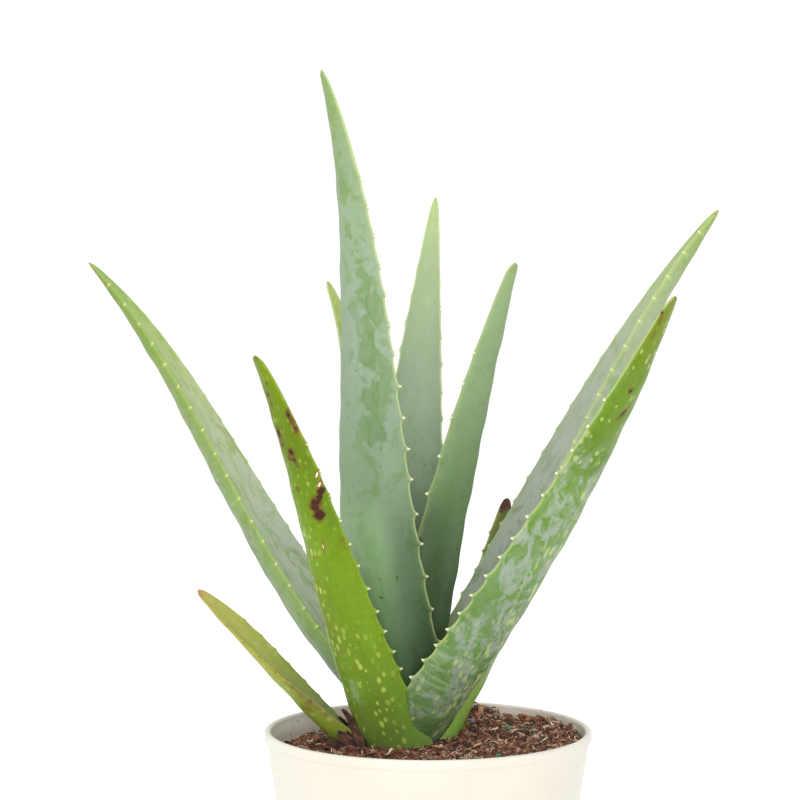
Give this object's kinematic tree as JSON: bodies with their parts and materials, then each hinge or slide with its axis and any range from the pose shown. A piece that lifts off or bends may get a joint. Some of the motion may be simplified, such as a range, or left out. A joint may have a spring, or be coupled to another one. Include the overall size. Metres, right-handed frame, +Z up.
{
  "type": "potted aloe vera",
  "caption": "Aloe vera plant in a round plastic pot: a rosette of long fleshy leaves with toothed edges rises from bark soil.",
  "frame": {"origin": "middle of the pot's flat underside, on the surface that the pot stands on", "axes": "+Z up, out of the pot along the plant; the picture looks along +Y, with +X to its right"},
  "size_m": [0.2634, 0.1536, 0.3738],
  "materials": {
    "pot_plastic": "satin",
    "bark_soil": "matte",
    "stem_flesh": "matte",
    "leaf_blue_green": "satin",
    "leaf_grey_green": "satin",
    "leaf_mid_green": "satin",
    "leaf_bright_green": "satin",
    "leaf_olive": "satin",
    "dried_leaf": "matte"
  },
  "bodies": {
    "root": {"pot": "pot_plastic", "soil": "bark_soil", "stem": "stem_flesh", "leaf_tall": "leaf_blue_green", "leaf_inner_right": "leaf_blue_green", "leaf_inner_left": "leaf_grey_green", "leaf_inner_back": "leaf_grey_green", "leaf_front_right": "leaf_mid_green", "leaf_front_left": "leaf_bright_green", "leaf_long_left": "leaf_grey_green", "leaf_long_right": "leaf_grey_green", "leaf_short_back": "leaf_olive", "leaf_low_left": "leaf_olive", "dried_sheath": "dried_leaf"}
  },
  "joints": []
}
